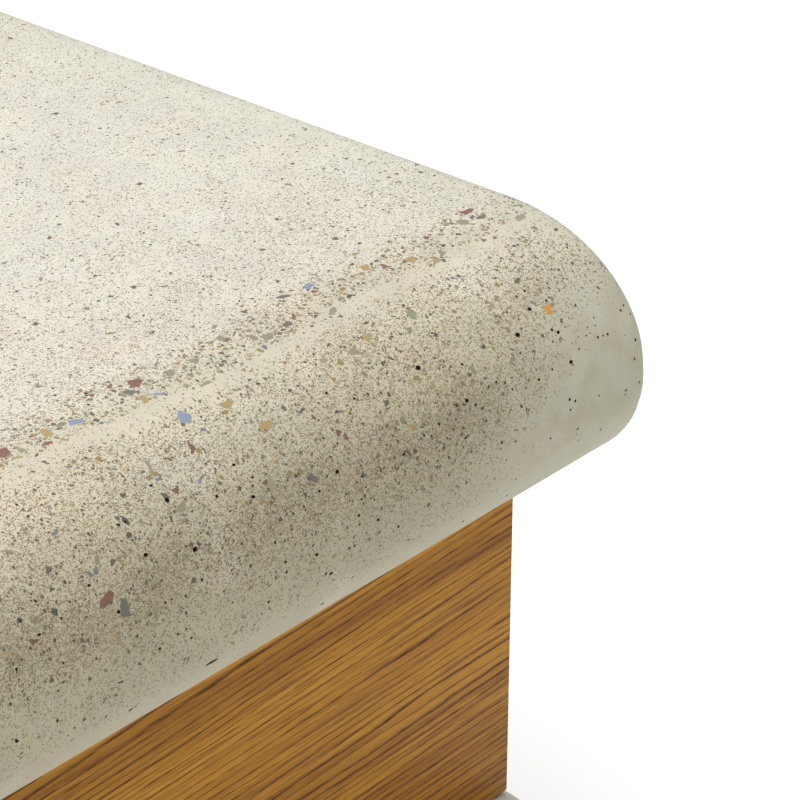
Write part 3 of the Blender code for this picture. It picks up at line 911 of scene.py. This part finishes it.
@dataclass
class Bores:
    """The holes cast or drilled in a slab from below, each sized from the piece that goes in it.

    Attributes:
        clearance: Gap round a piece that is cast or let in.
        counterbore: Radius of the counterbore round each tie rod's nut.
        rod_hole: Radius of the hole each tie rod goes through.
        pocket_clearance: Gap round each levelling foot's pad, for a hand to reach it.
        below: How far each cut starts below the slab.
        segments: Faces round each hole.
    """

    clearance: float = 0.3 * MM
    counterbore: float = 22 * MM
    rod_hole: float = 9 * MM
    pocket_clearance: float = 8 * MM
    below: float = 5 * MM
    segments: int = 48
    cutter: bmesh.types.BMesh = field(default_factory=bmesh.new)

    def round_hole(self, centre: Vector, bottom: float, steps: Iterable[tuple[float, float]]) -> None:
        """Add one stepped round hole.

        Args:
            centre: A point on its axis.
            bottom: Where it starts.
            steps: The radius and the top of each step, from the bottom up.
        """
        points, height = [(0.0, bottom)], bottom
        for radius, top in steps:
            points += [(radius, height), (radius, top)]
            height = top
        points.append((0.0, height))
        lathe(self.cutter, points, centre, self.segments)

    def for_seat(self) -> None:
        """Add the blind hole of each threaded socket in the seat."""
        for low, high in self.boxes("tie_socket_"):
            radius = (high.x - low.x) / 2 + self.clearance
            self.round_hole((low + high) / 2, low.z - self.below, [(radius, high.z + self.clearance)])

    def for_base(self, bottom: float, top: float) -> None:
        """Add the base's rod holes, foot pockets and glide recesses.

        Args:
            bottom: Height of the base's underside.
            top: Height of the base's top.
        """
        start = bottom - self.below
        for low, high in self.boxes("tie_washer_"):
            steps = [(self.counterbore, high.z + self.clearance), (self.rod_hole, top + self.below)]
            self.round_hole((low + high) / 2, start, steps)
        for low, high in self.boxes("foot_socket_"):
            pad_low, pad_high = next(box for box in self.boxes("foot_pad_") if box[0].x < low.x and high.x < box[1].x)
            pad = (pad_high.x - pad_low.x) / 2 + self.pocket_clearance
            hole = (high.x - low.x) / 2 + self.clearance
            self.round_hole((low + high) / 2, start, [(pad, low.z), (hole, high.z + self.clearance)])
        for low, high in self.boxes("glide_"):
            size = high - low + Vector((2, 2, 2)) * self.clearance
            middle = (low + high) / 2
            shape = Matrix.Translation((middle.x, middle.y, high.z + self.clearance - size.z / 2 - self.below / 2))
            shape @= Matrix.Diagonal((size.x, size.y, size.z + self.below, 1.0))
            bmesh.ops.create_cube(self.cutter, size=1.0, matrix=shape)

    def boxes(self, start: str) -> list[tuple[Vector, Vector]]:
        """The boxes of every node whose name starts like this."""
        names = [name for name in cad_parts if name.startswith(start)]
        return [tuple(Vector(corner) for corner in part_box(name)) for name in names]

    def cut(self, shape: bmesh.types.BMesh) -> bmesh.types.BMesh:
        """Cut the holes.

        Args:
            shape: The slab's mesh. It is freed.

        Returns:
            The slab's mesh with its holes.
        """
        bmesh.ops.recalc_face_normals(self.cutter, faces=self.cutter.faces)
        holders = []
        for name, source in (("blank", shape), ("bores", self.cutter)):
            mesh = bpy.data.meshes.new(name)
            source.to_mesh(mesh)
            source.free()
            holders.append(bpy.data.objects.new(name, mesh))
            bpy.context.scene.collection.objects.link(holders[-1])
        blank, tool = holders
        modifier = blank.modifiers.new("bores", "BOOLEAN")
        modifier.operation = "DIFFERENCE"
        modifier.solver = "EXACT"
        modifier.object = tool
        bpy.context.view_layer.update()
        drilled = bmesh.new()
        drilled.from_mesh(blank.evaluated_get(bpy.context.evaluated_depsgraph_get()).data)
        for holder in holders:
            mesh = holder.data
            bpy.data.objects.remove(holder)
            bpy.data.meshes.remove(mesh)
        return drilled


@dataclass
class Slab:
    """A cast slab with a rounded nose along both long edges and an eased arris round both ends.

    Attributes:
        node: The CAD node it stands for.
        seed: Starts its random draws.
        brightness: Its colour against the other slab's.
        stoniness: How much stone shows in it.
        nose: How far each nose projects beyond the flat.
        arris: Radius of the edge round each end.
        lower_arris: Length of that edge on the underside, as a share of the radius: it is ground away less there.
        lower_turns: Where that share takes over, in degrees of turn.
        nose_steps: Faces round each nose.
        arris_steps: Faces round each end's arris.
        column: Length of each face along the bench.
        flat_step: Width of each face on the flats.
        unevenness: How far the mould's own unevenness takes the surface inwards.
        waves: Waves a metre of that unevenness, and the share of each.
        bubble_chance: Chance that a face on the nose holds an air bubble, where they gather most.
        bubble_turn: Where they gather, in degrees of turn.
        bubble_spread: How far round they spread from there, in degrees.
        bubble_sizes: Mouth widths of the open air bubbles.
        bubble_width: Narrowest and widest of a mouth, as shares of its size.
        bubble_stretch: Least and most that a mouth is drawn out along the bench.
        bubble_corner: How far the mouth's corners are cut, in percent of its sides: 29 makes them even octagons.
        bubble_steps: How far each step of a bubble's wall goes inwards, as shares of its size.
        bubble_sink: How deep each of those steps goes.
        long_bubble: Where one long bubble was smeared along the mould, if there is one.
        long_stretch: How far it is drawn out along the bench.
        bores: The holes in it.
    """

    node: str
    seed: int
    brightness: float = 1.0
    stoniness: float = 1.0
    nose: float = 77 * MM
    arris: float = 17 * MM
    lower_arris: float = 0.5
    lower_turns: tuple[float, float] = (85.0, 130.0)
    nose_steps: int = 30
    arris_steps: int = 6
    column: float = 7 * MM
    flat_step: float = 32 * MM
    unevenness: float = 0.5 * MM
    waves: tuple[tuple[float, float], ...] = ((14.0, 0.7), (55.0, 0.3))
    bubble_chance: float = 0.20
    bubble_turn: float = 82.0
    bubble_spread: float = 40.0
    bubble_sizes: tuple[float, ...] = (0.9 * MM, 1.2 * MM, 1.5 * MM, 2.1 * MM)
    bubble_width: tuple[float, float] = (0.6, 1.0)
    bubble_stretch: tuple[float, float] = (0.9, 1.5)
    bubble_corner: float = 29.0
    bubble_steps: tuple[float, ...] = (0.04, 0.10)
    bubble_sink: float = 0.6
    long_bubble: Vector | None = None
    long_stretch: float = 3.0
    bores: Bores = field(default_factory=Bores)
    low: Vector = field(init=False)
    high: Vector = field(init=False)

    def __post_init__(self) -> None:
        """Take the slab's place from the frame."""
        low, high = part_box(self.node)
        self.low, self.high = Vector(low), Vector(high)

    @property
    def flat_half_depth(self) -> float:
        """Distance from the middle to where each nose starts."""
        return self.high.y - self.nose

    @property
    def thickness(self) -> float:
        """The slab's thickness."""
        return self.high.z - self.low.z

    @property
    def middle(self) -> float:
        """Height of the slab's middle."""
        return (self.high.z + self.low.z) / 2

    def finish(self) -> CastConcrete:
        """The concrete, with its bands of grain placed on this slab's section."""
        return CastConcrete(
            self.node, self.high.z, self.thickness, self.flat_half_depth, self.nose, self.high.x, self.brightness,
            self.stoniness,
        )

    def outline(self) -> list[Vector]:
        """Work out the section of the slab.

        Returns:
            Its points in order: nose, flat, nose, flat.
        """
        points = []
        flat_steps = round(2 * self.flat_half_depth / self.flat_step)
        for side in (1, -1):
            for step in range(self.nose_steps):
                turn = math.pi * step / self.nose_steps
                y = side * (self.flat_half_depth + self.nose * math.sin(turn))
                points.append(Vector((self.low.x, y, self.middle + side * self.thickness / 2 * math.cos(turn))))
            for step in range(flat_steps):
                y = side * self.flat_half_depth * (1 - 2 * step / flat_steps)
                points.append(Vector((self.low.x, y, self.middle - side * self.thickness / 2)))
        return points

    def body(self) -> bmesh.types.BMesh:
        """Extrude the section along the bench, round its ends and divide it into columns.

        Returns:
            The plain slab's mesh.
        """
        length = self.high.x - self.low.x
        shape = extruded(self.outline(), (length, 0, 0))
        rims = [edge for edge in shape.edges if abs(edge.verts[0].co.x - edge.verts[1].co.x) < MM]
        ease(shape, rims, self.arris, self.arris_steps)
        first, last = self.lower_turns
        for vert in shape.verts:
            share = min(1.0, max(0.0, (self.turn(vert.co) - first) / (last - first))) * (1 - self.lower_arris)
            behind = self.high.x - abs(vert.co.x)
            vert.co.x += math.copysign(behind * share, vert.co.x)
        reach = length - 3 * self.arris
        long_edges = [edge for edge in shape.edges if abs(edge.verts[0].co.x - edge.verts[1].co.x) > reach]
        cuts = round(reach / self.column)
        bmesh.ops.subdivide_edges(shape, edges=long_edges, cuts=cuts, use_grid_fill=True)
        return shape

    def turn(self, point: Vector) -> float:
        """The angle round the section in degrees: 0 where a nose starts, 90 at its tip, 180 below."""
        out = (abs(point.y) - self.flat_half_depth) / self.nose
        return math.degrees(math.atan2(out, (point.z - self.middle) / (self.thickness / 2)))

    def open_bubbles(self, shape: bmesh.types.BMesh) -> None:
        """Open air bubbles in the nose: inset a face, round its corners, sink it and jitter its mouth.

        Args:
            shape: The slab's mesh. Faces inside a bubble get material 1, and all others stay at 0.
        """
        dice = random.Random(self.seed)
        mouths, smeared = self.bubble_mouths(shape, dice)
        for inside, (size, faces) in enumerate(mouths.items(), start=1):
            margin = min(self.column, math.pi * self.nose / self.nose_steps) / 2 - size / 2
            bmesh.ops.inset_individual(shape, faces=faces, thickness=margin, use_even_offset=True)
            for face in faces:
                middle = face.calc_center_median()
                width = dice.uniform(*self.bubble_width)
                stretch = Matrix.Diagonal((width * dice.uniform(*self.bubble_stretch), width, width))
                if face is smeared:
                    stretch = Matrix.Diagonal((self.long_stretch, 1.0, 1.0))
                for corner in face.verts:
                    corner.co = middle + stretch @ (corner.co - middle)
                face.material_index = inside
            bmesh.ops.bevel(
                shape, geom=[corner for face in faces for corner in face.verts], offset=self.bubble_corner,
                offset_type="PERCENT", segments=1, profile=0.5, affect="VERTICES", material=-1,
            )
            floors = [face for face in shape.faces if face.material_index == inside]
            for step in self.bubble_steps:
                sink = -size * self.bubble_sink
                bmesh.ops.inset_individual(shape, faces=floors, thickness=size * step, depth=sink)
        for face in shape.faces:
            face.material_index = min(face.material_index, 1)

    def bubble_mouths(
        self, shape: bmesh.types.BMesh, dice: random.Random,
    ) -> tuple[dict[float, list[bmesh.types.BMFace]], bmesh.types.BMFace | None]:
        """Choose the faces that open into a bubble, none of them side by side.

        Args:
            shape: The slab's mesh.
            dice: Where the random draws come from.

        Returns:
            The faces for each mouth width, and the face of the long bubble if there is one.
        """
        taken: set[bmesh.types.BMVert] = set()
        mouths: dict[float, list[bmesh.types.BMFace]] = {size: [] for size in self.bubble_sizes}
        smeared = None
        if self.long_bubble is not None:
            smeared = min(shape.faces, key=lambda face: (face.calc_center_median() - self.long_bubble).length)
            taken.update(smeared.verts)
            mouths[max(self.bubble_sizes)].append(smeared)
        for face in shape.faces:
            centre = face.calc_center_median()
            away = (self.turn(centre) - self.bubble_turn) / self.bubble_spread
            chance = self.bubble_chance * max(0.0, 1 - away ** 2)
            near_end = self.high.x - abs(centre.x) < 2 * self.arris
            if dice.random() > chance or near_end or len(face.verts) != 4 or taken & set(face.verts):
                continue
            taken.update(face.verts)
            mouths[dice.choice(self.bubble_sizes)].append(face)
        return mouths, smeared

    def roughen(self, shape: bmesh.types.BMesh) -> None:
        """Move the surface inwards by the mould's unevenness, so that no long edge is dead straight.

        Args:
            shape: The slab's mesh.
        """
        shape.normal_update()
        (broad, broad_share), (fine, fine_share) = self.waves
        offset = Vector((self.seed, 0, 0))
        for vert in shape.verts:
            wave = noise.noise(vert.co * broad + offset) * broad_share + noise.noise(vert.co * fine) * fine_share
            vert.co -= vert.normal * self.unevenness * (0.5 + 0.5 * wave)

    def build(self) -> bpy.types.Object:
        """Make the slab, dress it and put it in the frame.

        Returns:
            The slab's object.
        """
        shape = self.body()
        self.roughen(shape)
        shape = self.bores.cut(shape)
        self.open_bubbles(shape)
        bmesh.ops.recalc_face_normals(shape, faces=shape.faces)
        piece = finished_object(shape, f"{self.node}_cast", self.finish(), 50)
        piece.data.materials.append(BubbleSkin().material())
        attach(piece, BENCH_BODY)
        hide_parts(self.node)
        return piece


@dataclass
class Cladding:
    """The four oak boards between the slabs, mitred where they meet.

    Attributes:
        thickness: The boards' thickness.
        arris: Radius of their eased edges.
    """

    thickness: float = 28 * MM
    arris: float = 1.3 * MM

    def board(self, node: str, finish: OiledOak) -> None:
        """Make one board in the place of its CAD node.

        Args:
            node: The CAD node it stands for.
            finish: Its oak.
        """
        low, high = (Vector(corner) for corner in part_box(node))
        middle = (low + high) / 2
        half = (high - low) / 2
        along_y = half.y > half.x
        long_half, out = (half.y, abs(middle.x)) if along_y else (half.x, abs(middle.y))
        sign = math.copysign(1.0, middle.x if along_y else middle.y)
        face = self.thickness / 2
        plan = [(-long_half, face), (long_half, face), (long_half - 2 * face, -face), (2 * face - long_half, -face)]
        shape = extruded([(x, y, low.z) for x, y in plan], (0, 0, high.z - low.z))
        ease(shape, shape.edges[:], self.arris, 3)
        if along_y:
            turn = Matrix.Rotation(-sign * math.pi / 2, 4, "Z")
            seat = Matrix.Translation((sign * out, 0, 0))
        else:
            turn = Matrix.Rotation(math.pi if sign < 0 else 0.0, 4, "Z")
            seat = Matrix.Translation((0, sign * out, 0))
        bmesh.ops.transform(shape, matrix=seat @ turn, verts=shape.verts)
        piece = finished_object(shape, f"{node}_board", finish, 35)
        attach(piece, BENCH_BODY)
        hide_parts(node)

    def build(self) -> None:
        """Make all four boards, each cut from its own plank."""
        level = sum(corner[2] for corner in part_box("oak_front")) / 2
        planks = {
            "oak_front": OiledOak("front", shift=0.0, level=level, heart_height=90 * MM, heart_fall=0.042),
            "oak_rear": OiledOak("rear", shift=3.1, level=level, heart_height=15 * MM, heart_fall=-0.02),
            "oak_left": OiledOak("left", True, shift=5.3, level=level, heart_height=-40 * MM, heart_fall=0.03),
            "oak_right": OiledOak("right", True, shift=7.7, level=level, heart_height=30 * MM, heart_fall=-0.03),
        }
        for node, oak in planks.items():
            self.board(node, oak)


@dataclass
class LevellingFoot:
    """A levelling foot: a zinc-coated swivel pad on the ball of a threaded stud with spanner flats.

    Attributes:
        corner: Which foot it is, as its nodes and bodies are named.
        pad_thickness: Thickness of the pad's plate at its middle.
        rim: Thickness of its rim.
        boss: Radius of the boss round the ball.
        ball: Radius of the ball.
        cup_gap: Gap between the ball and its cup.
        neck: Radius of the neck above the ball.
        thread: Outer radius of the thread.
        pitch: Its pitch.
        thread_depth: Its depth.
        flats: Width of the spanner's hexagon across its flats.
        flats_height: Its height.
        flats_gap: How far it is above the pad's boss.
        grip_rings: Radii of the grooves under the pad.
        groove: Width of a groove.
        pad_ease: Size of the pad's chamfers, and depth of its grooves.
        hexagon_ease: Radius of the hexagon's edges.
        segments: Faces round each piece.
    """

    corner: str
    pad_thickness: float = 6 * MM
    rim: float = 3 * MM
    boss: float = 13.5 * MM
    ball: float = 7.5 * MM
    cup_gap: float = 0.5 * MM
    neck: float = 5 * MM
    thread: float = 8 * MM
    pitch: float = 2 * MM
    thread_depth: float = 0.7 * MM
    flats: float = 19 * MM
    flats_height: float = 8 * MM
    flats_gap: float = 1.5 * MM
    grip_rings: tuple[float, ...] = (9 * MM, 15 * MM, 21 * MM)
    groove: float = 1.6 * MM
    pad_ease: float = 0.6 * MM
    hexagon_ease: float = 0.5 * MM
    segments: int = 48

    def arc(self, centre: float, radius: float, start: float, end: float) -> list[tuple[float, float]]:
        """Points of a ball's outline, from one angle above the horizontal to another, in degrees."""
        angles = [math.radians(start + (end - start) * step / 10) for step in range(11)]
        return [(radius * math.cos(angle), centre + radius * math.sin(angle)) for angle in angles]

    def pad(self) -> None:
        """Turn the pad, with grip grooves under it, an eased rim and a cup for the ball."""
        low, high = (Vector(point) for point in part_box(f"foot_pad_{self.corner}"))
        radius, bottom, top = (high.x - low.x) / 2, low.z, high.z
        cut, plate = self.pad_ease, bottom + self.pad_thickness
        profile = [(0.0, bottom)]
        for ring in self.grip_rings:
            profile += [(ring, bottom), (ring + cut / 2, bottom + cut)]
            profile += [(ring + self.groove - cut / 2, bottom + cut), (ring + self.groove, bottom)]
        profile += [(radius - cut, bottom), (radius, bottom + cut), (radius, bottom + self.rim - cut)]
        profile += [(radius - cut, bottom + self.rim), (self.boss + 2 * cut, plate - cut)]
        profile += [(self.boss, plate + cut), (self.boss, top - cut), (self.boss - cut, top)]
        cup = self.ball + self.cup_gap
        centre = bottom + self.pad_thickness + self.ball
        lip = math.degrees(math.asin((top - centre) / cup))
        profile += self.arc(centre, cup, lip, -90)[:-1] + [(0.0, centre - cup)]
        shape = bmesh.new()
        lathe(shape, profile, (low + high) / 2, self.segments)
        self.finish(shape, "pad", DippedZinc(), "galvanised_steel")

    def stud(self) -> None:
        """Turn the ball and neck, put the spanner's hexagon on them and the thread on that."""
        pad_low, pad_high = (Vector(point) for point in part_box(f"foot_pad_{self.corner}"))
        low, high = (Vector(point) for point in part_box(f"foot_stud_{self.corner}"))
        middle = (low + high) / 2
        centre = pad_low.z + self.pad_thickness + self.ball
        start = pad_high.z + self.flats_gap
        end = start + self.flats_height
        neck_turn = math.degrees(math.acos(self.neck / self.ball))
        shape = bmesh.new()
        lower = [(0.0, centre - self.ball)] + self.arc(centre, self.ball, -90, neck_turn)[1:]
        lathe(shape, lower + [(self.neck, start), (0.0, start)], middle, self.segments)
        turns = int((high.z - end - self.pitch) / self.pitch)
        upper = [(0.0, end), (self.thread - self.thread_depth, end)]
        for step in range(turns):
            root = end + (step + 0.5) * self.pitch
            upper += [(self.thread - self.thread_depth, root), (self.thread, root + self.pitch / 2)]
        upper += [(self.thread - 2 * self.thread_depth, high.z), (0.0, high.z)]
        lathe(shape, upper, middle, self.segments)
        before = set(shape.verts)
        seat = Matrix.Translation((middle.x, middle.y, (start + end) / 2)) @ Matrix.Rotation(math.pi / 6, 4, "Z")
        corner_radius = self.flats / math.sqrt(3)
        bmesh.ops.create_cone(
            shape, cap_ends=True, segments=6, radius1=corner_radius, radius2=corner_radius, depth=self.flats_height,
            matrix=seat,
        )
        ease(shape, [edge for edge in shape.edges if not before & set(edge.verts)], self.hexagon_ease, 2)
        self.finish(shape, "stud", TurnedStainless(), "stainless_steel")

    def finish(self, shape: bmesh.types.BMesh, part: str, finish: Finish, slot: str) -> None:
        """Make one of the foot's pieces an object that moves with its body.

        Args:
            shape: The piece's mesh. It is freed.
            part: Which piece it is, pad or stud.
            finish: Its material.
            slot: The slot it would fill. It is not used.
        """
        bmesh.ops.recalc_face_normals(shape, faces=shape.faces)
        piece = finished_object(shape, f"levelling_{part}_{self.corner}", finish, 30)
        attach(piece, f"{part}_{self.corner}")
        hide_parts(f"foot_{part}_{self.corner}")

    def build(self) -> None:
        """Make both pieces."""
        self.pad()
        self.stud()


@dataclass
class Glide:
    """A ribbed rubber block that the bench stands on.

    Attributes:
        corner: Which glide it is, as its node is named.
        ribs: Number of ribs under it.
        groove: Width of the groove between two ribs.
        groove_depth: Its depth.
        arris: Radius of its edges.
    """

    corner: str
    ribs: int = 10
    groove: float = 2.4 * MM
    groove_depth: float = 1.5 * MM
    arris: float = 0.35 * MM

    def build(self) -> None:
        """Extrude the ribbed section and ease its edges."""
        low, high = (Vector(point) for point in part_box(f"glide_{self.corner}"))
        pitch = (high.x - low.x + self.groove) / self.ribs
        outline = []
        for rib in range(self.ribs):
            start = low.x + rib * pitch
            end = start + pitch - self.groove
            outline += [(start, low.z), (end, low.z)]
            if rib < self.ribs - 1:
                outline += [(end, low.z + self.groove_depth), (start + pitch, low.z + self.groove_depth)]
        outline += [(high.x, high.z), (low.x, high.z)]
        shape = extruded([(x, low.y, z) for x, z in outline], (0, high.y - low.y, 0))
        ease(shape, shape.edges[:], self.arris, 2)
        piece = finished_object(shape, f"ribbed_glide_{self.corner}", MouldedRubber(), 35)
        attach(piece, BENCH_BODY)
        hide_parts(f"glide_{self.corner}")


@dataclass
class Fittings:
    """The hardware and hidden timber, whose CAD shapes stay and get their real finishes."""

    finishes: Mapping[str, Finish] = field(default_factory=lambda: {
        "corner_block": OiledOak("corner_blocks"),
        "pedestal": DippedZinc(),
        "bearing_pad": MouldedRubber(),
        "tie_": TurnedStainless(),
        "foot_socket": TurnedStainless(),
        "side_screw": TurnedStainless(),
        "end_screw": TurnedStainless(),
        "arm_screw": TurnedStainless(),
    })

    def build(self) -> None:
        """Dress every CAD node that keeps its own shape."""
        for name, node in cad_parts.items():
            for start, finish in self.finishes.items():
                if name.startswith(start):
                    node.data.materials.clear()
                    node.data.materials.append(finish.material())
                    log.info("%s: %s", name, finish.title)


class Softbox(NamedTuple):
    """A square soft light: its name, its power in watts, its side, where it hangs and what it points at."""

    name: str
    power: float
    size: float
    place: Vector
    target: Vector


@dataclass
class Studio:
    """A white floor, a large soft light overhead, a softer one in front, and the camera at the bench's corner.

    Attributes:
        floor_size: Side of the floor.
        lights: Its soft lights.
        sky: Brightness of the room around.
        focal_length: The camera's focal length in millimetres.
        sensor: Its sensor's width in millimetres.
        azimuth: The direction it looks from, in degrees: 0 from the front, negative from the left.
        elevation: How far above the horizon it is, in degrees.
        from_corner: Its place from the seat's front right corner, where the flat top meets nose and end.
    """

    floor_size: float = 60.0
    lights: tuple[Softbox, ...] = (
        Softbox("overhead_softbox", 122.0, 4.0, Vector((0.2, 0.3, 3.0)), Vector((0.4, 0.0, 0.4))),
        Softbox("front_softbox", 12.0, 2.5, Vector((-1.5, -3.0, 1.6)), Vector((0.5, 0.0, 0.3))),
    )
    sky: float = 0.45
    focal_length: float = 130.5
    sensor: float = 36.0
    azimuth: float = -48.12
    elevation: float = 28.61
    from_corner: Vector = field(default_factory=lambda: Vector((-0.9073, -0.7385, 0.5302)))

    def light(self, box: Softbox) -> None:
        """Hang one soft light.

        Args:
            box: Which light it is.
        """
        lamp = bpy.data.lights.new(box.name, "AREA")
        lamp.energy = box.power
        lamp.size = box.size
        holder = bpy.data.objects.new(box.name, lamp)
        holder.location = box.place
        holder.rotation_euler = (box.place - box.target).to_track_quat("Z", "Y").to_euler()
        bpy.context.scene.collection.objects.link(holder)

    def floor(self) -> None:
        """Lay the floor, of matt white paper."""
        shape = bmesh.new()
        bmesh.ops.create_grid(shape, x_segments=1, y_segments=1, size=self.floor_size / 2)
        mesh = bpy.data.meshes.new("studio_floor")
        shape.to_mesh(mesh)
        shape.free()
        paper = bpy.data.materials.new("matt_white_studio_paper")
        paper.use_nodes = True
        shader = paper.node_tree.nodes["Principled BSDF"]
        shader.inputs["Base Color"].default_value = linear("FDFDFD")
        shader.inputs["Roughness"].default_value = 1.0
        shader.inputs["Specular IOR Level"].default_value = 0.0
        mesh.materials.append(paper)
        ground = bpy.data.objects.new("studio_floor", mesh)
        bpy.context.scene.collection.objects.link(ground)

    def camera(self, corner: Vector) -> None:
        """Place the camera.

        Args:
            corner: The seat's front right corner, where its flat top ends.
        """
        turn, rise = math.radians(self.azimuth), math.radians(self.elevation)
        back = Vector((math.sin(turn) * math.cos(rise), -math.cos(turn) * math.cos(rise), math.sin(rise)))
        lens = bpy.data.cameras.new("corner_view")
        lens.lens = self.focal_length
        lens.sensor_width = self.sensor
        lens.clip_end = 100.0
        viewer = bpy.data.objects.new("corner_view", lens)
        viewer.location = corner + self.from_corner
        viewer.rotation_euler = back.to_track_quat("Z", "Y").to_euler()
        bpy.context.scene.collection.objects.link(viewer)
        bpy.context.scene.camera = viewer

    def build(self, corner: Vector) -> None:
        """Set up the whole studio.

        Args:
            corner: The seat's front right corner, where its flat top ends.
        """
        scene = bpy.context.scene
        scene.view_settings.view_transform = "Standard"
        world = bpy.data.worlds.new("studio_room")
        world.use_nodes = True
        world.node_tree.nodes["Background"].inputs["Color"].default_value = (self.sky, self.sky, self.sky, 1.0)
        scene.world = world
        self.floor()
        for box in self.lights:
            self.light(box)
        self.camera(corner)


def main() -> None:
    """Build the bench's looks and the studio around it."""
    seat = Slab("seat_slab", seed=11, long_bubble=Vector((0.628, -0.263, 0.362)))
    seat.bores.for_seat()
    base = Slab("base_slab", seed=29, brightness=0.98, stoniness=0.2)
    base.bores.for_base(base.low.z, base.high.z)
    Studio().build(Vector((seat.high.x, -seat.flat_half_depth, seat.high.z)))
    seat.build()
    base.build()
    Cladding().build()
    for side in Side:
        for face in Face:
            corner = f"{side.name}_{face.name}".lower()
            LevellingFoot(corner).build()
            Glide(corner).build()
    Fittings().build()


if __name__ == "__main__":
    main()
